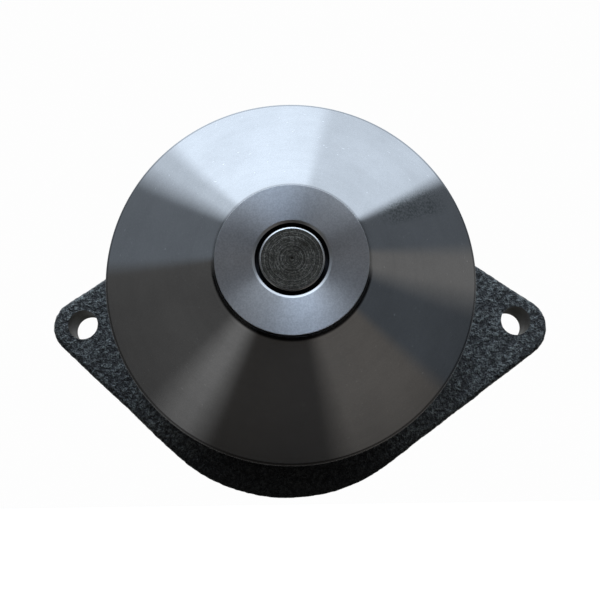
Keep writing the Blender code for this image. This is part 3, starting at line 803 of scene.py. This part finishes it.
def dress_cad_nodes(materials):
    """Inner pieces keep their CAD shape and get a detailed surface."""
    surfaces = {
        "bearing_outer_ring": "bearing", "seal_spring": "bearing", "slinger": "shaft_side",
        "seal_spring_retainer": "shaft_side", "seal_cup": "brass", "seal_carbon_ring": "carbon",
        "seal_seat": "ceramic", "seal_bellows": "rubber", "seal_seat_boot": "rubber",
        "bearing_seal_front": "rubber", "bearing_seal_rear": "rubber",
    }
    for name, item in frame["nodes"].items():
        if name.startswith("ball_"):
            surface = "bearing"
        elif name.startswith("bearing_cage"):
            surface = "cage"
        else:
            surface = surfaces.get(name)
        if surface is None:
            continue
        if not item.material_slots:
            item.data.materials.append(None)
        for slot in item.material_slots:
            slot.material = materials[surface]


# ---------------------------------------------------------------- studio

# Studio light round the pump, as plain soft panels: start and end in degrees anticlockwise from
# +X, brightness and tint. The light fades evenly from each panel to the next.
COOL = (0.85, 0.97, 1.12)
PLAIN = (1.0, 1.0, 1.0)
WARM = (1.06, 1.0, 0.94)
UPPER_PANELS = [
    (0, 5, 0.10, PLAIN), (10, 30, 0.07, COOL), (35, 75, 0.60, COOL), (80, 130, 0.80, COOL),
    (135, 140, 0.50, COOL), (150, 175, 0.10, COOL), (180, 180, 0.05, PLAIN),
]
LOWER_PANELS = [
    (180, 220, 0.05, PLAIN), (230, 235, 0.12, PLAIN), (245, 280, 0.02, WARM),
    (290, 320, 0.07, WARM), (325, 345, 0.05, COOL), (355, 360, 0.10, PLAIN),
]
PANEL_STRENGTH = 1.9
PANEL_CENTRE = (0.008, 0.236)   # direction that the panels surround, opposite the low camera


def panel_stops(panels, first):
    """Ramp stops over the half turn that begins at first degrees."""
    stops = []
    for start, end, brightness, tint in panels:
        light = [c * brightness * PANEL_STRENGTH for c in tint]
        for degrees in (start, end) if end > start else (start,):
            stops.append(((degrees - first) / 180.0, light))
    return stops


def build_world():
    """Studio of soft panels: a bright window above the pump's face, dim walls, a lit back."""
    world = bpy.data.worlds.new("studio")
    bpy.context.scene.world = world
    world.use_nodes = True
    tree = world.node_tree
    tree.nodes.clear()
    n = Nodes(tree)
    direction = n.add("ShaderNodeTexCoord").outputs["Generated"]
    split = n.add("ShaderNodeSeparateXYZ")
    n.join(direction, split.inputs[0])
    x, y, z = split.outputs
    across = n.math("SUBTRACT", x, PANEL_CENTRE[0])
    above = n.math("SUBTRACT", z, PANEL_CENTRE[1])
    turn = n.math("DIVIDE", n.math("ARCTAN2", above, across), math.tau)
    turn = n.math("FRACT", n.math("ADD", turn, 1.0))
    upper = n.ramp(n.math("MULTIPLY", turn, 2.0), panel_stops(UPPER_PANELS, 0))
    lower = n.ramp(n.math("MULTIPLY_ADD", turn, 2.0, -1.0), panel_stops(LOWER_PANELS, 180))
    ring = n.mix(n.math("GREATER_THAN", turn, 0.5), upper, lower)
    ahead = n.math("MULTIPLY_ADD", y, -0.5, 0.5)
    tilted = n.math("MULTIPLY_ADD", above, 0.12, ahead)
    upper_band = n.ramp(ahead, [(0.25, 0.5), (0.42, 1.0), (0.80, 1.0), (0.88, 0.55), (0.95, 0.15)])
    lower_band = n.ramp(tilted, [(0.44, 0.02), (0.53, 1.0), (0.76, 1.0), (0.82, 0.08)])
    band = n.mix(n.ramp(turn, [(0.49, 0.0), (0.53, 1.0), (0.96, 1.0), (0.99, 0.0)]),
                 upper_band, lower_band)
    panels = n.mix(1.0, ring, band, "MULTIPLY")
    height = n.math("MULTIPLY_ADD", z, 0.5, 0.5)
    raised = n.math("MULTIPLY_ADD", z, 0.15, ahead)
    facing = n.math("MULTIPLY", n.ramp(raised, [(0.93, 0.0), (0.995, 1.0)]),
                    n.ramp(height, [(0.50, 0.05), (0.58, 0.97), (0.67, 1.2)]))
    front = n.mix(facing, panels, colour4((0.185, 0.188, 0.20)), "ADD")
    lamp = n.math("MULTIPLY", n.ramp(ahead, [(0.82, 0.0), (0.87, 1.0), (0.94, 1.0), (0.97, 0.0)]),
                  n.ramp(turn, [(0.21, 0.0), (0.26, 1.0), (0.30, 1.0), (0.36, 0.0)]))
    front = n.mix(lamp, front, colour4((1.55, 2.10, 2.95)), "ADD")
    behind = n.ramp(height, [(0.15, (0.03, 0.03, 0.033)), (0.32, (0.30, 0.30, 0.28)),
                             (0.56, (0.55, 0.58, 0.62)), (0.85, 1.5)])
    shade = n.mix(n.ramp(ahead, [(0.14, 1.0), (0.26, 0.0)]), front, behind)
    seen = n.add("ShaderNodeLightPath").outputs["Is Camera Ray"]
    shade = n.mix(seen, shade, colour4(0.985))
    background = n.add("ShaderNodeBackground")
    n.join(shade, background.inputs["Color"])
    output = n.add("ShaderNodeOutputWorld")
    n.join(background.outputs[0], output.inputs["Surface"])


def build_floor():
    """Plain pale floor well below the pump, which its mounting face holds up."""
    mesh = bpy.data.meshes.new("floor")
    reach = 3.0
    drop = -0.16
    mesh.from_pydata([(-reach, -reach, drop), (reach, -reach, drop), (reach, reach, drop),
                      (-reach, reach, drop)], [], [(0, 1, 2, 3)])
    floor = bpy.data.objects.new("floor", mesh)
    bpy.context.scene.collection.objects.link(floor)
    made, _, shader = new_material("pale_floor")
    shader.inputs["Base Color"].default_value = (0.9, 0.9, 0.9, 1.0)
    shader.inputs["Roughness"].default_value = 0.9
    shader.inputs["Emission Color"].default_value = (1.0, 1.0, 1.0, 1.0)
    shader.inputs["Emission Strength"].default_value = 0.55
    mesh.materials.append(made)
    floor.visible_glossy = False
    floor.visible_diffuse = False


def build_camera():
    """Camera just below the shaft axis, looking slightly up at the pulley's face."""
    data = bpy.data.cameras.new("camera")
    data.lens = 51.0
    data.sensor_width = 36.0
    camera = bpy.data.objects.new("camera", data)
    bpy.context.scene.collection.objects.link(camera)
    forward = Vector((0.0178, 0.9792, 0.2023)).normalized()
    right = forward.cross(Vector((0.0, 0.0, 1.0))).normalized()
    up = right.cross(forward)
    roll = math.radians(0.74)
    level_right = right.copy()
    right = level_right * math.cos(roll) - up * math.sin(roll)
    up = up * math.cos(roll) + level_right * math.sin(roll)
    basis = Matrix((right, up, -forward)).transposed().to_4x4()
    camera.matrix_world = Matrix.Translation((-0.0018, -BOSS_FACE - 0.1968, -0.0508)) @ basis
    bpy.context.scene.camera = camera
    bpy.context.scene.view_settings.view_transform = "Standard"


def build_materials():
    return {
        "steel_cone": turned_metal("steel_cone", (0.60, 0.60, 0.60), 0.17, 1.0,
                                   sparkle=0.05, handled=True),
        "steel_face": turned_metal("steel_face", (0.67, 0.67, 0.68), 0.46, 0.97, sparkle=0.16),
        # steel_rim: dark steel on the belt ribs, its base colour lowered further as painted shade
        "steel_rim": turned_metal("steel_rim", (0.26, 0.27, 0.29), 0.28, 0.5),
        # steel_edge: lighter steel on the edge roundings, bare wear and a painted highlight line
        "steel_edge": turned_metal("steel_edge", (0.80, 0.80, 0.80), 0.32, 0.0, grit=0.3),
        "steel_corner": turned_metal("steel_corner", (0.58, 0.58, 0.58), 0.13, 1.0),
        "steel_chamfer": turned_metal("steel_chamfer", (0.36, 0.36, 0.36), 0.25, 0.0, grit=0.3),
        "steel_inside": turned_metal("steel_inside", (0.42, 0.42, 0.42), 0.36, 0.5,
                                     pitch=0.5 * MM, bump=0.5, stain=0.3, grit=0.3),
        # steel_bore: near-black base colour on the counterbore wall, painted shade in the recess
        "steel_bore": turned_metal("steel_bore", (0.05, 0.05, 0.055), 0.5, 0.0, grit=0.3),
        "shaft_end": worn_end("shaft_end"),
        "shaft_chamfer": turned_metal("shaft_chamfer", (0.85, 0.85, 0.83), 0.25, 0.0, grit=0.2),
        "shaft_side": turned_metal("shaft_side", (0.36, 0.36, 0.36), 0.25, 0.0),
        "bearing": turned_metal("bearing", (0.55, 0.55, 0.56), 0.2, 0.0),
        "brass": plain_solid("brass", (0.55, 0.38, 0.15), (0.66, 0.48, 0.20), 0.32, 1.0),
        "carbon": plain_solid("carbon", (0.025, 0.025, 0.028), (0.05, 0.05, 0.055), 0.4, 0.1),
        "ceramic": plain_solid("ceramic", (0.74, 0.72, 0.66), (0.82, 0.80, 0.75), 0.28, 0.0),
        "cage": plain_solid("cage", (0.18, 0.13, 0.07), (0.24, 0.18, 0.10), 0.5, 0.0),
        "rubber": rubber("rubber"),
        "cast_paint": sand_cast_paint("cast_paint"),
        "milled": milled_face("milled"),
        "hole_wall": bare_cast("hole_wall", (0.034, 0.031, 0.018), (0.075, 0.069, 0.048),
                               metallic=0.2),
        "impeller": bare_cast("impeller", (0.07, 0.07, 0.068), (0.17, 0.165, 0.155), 700.0),
    }


surfaces = build_materials()
build_camera()
build_world()
build_floor()
build_pulley(surfaces)
build_shaft(surfaces)
build_housing(surfaces)
build_impeller(surfaces)
build_mounting_seal(surfaces)
dress_cad_nodes(surfaces)
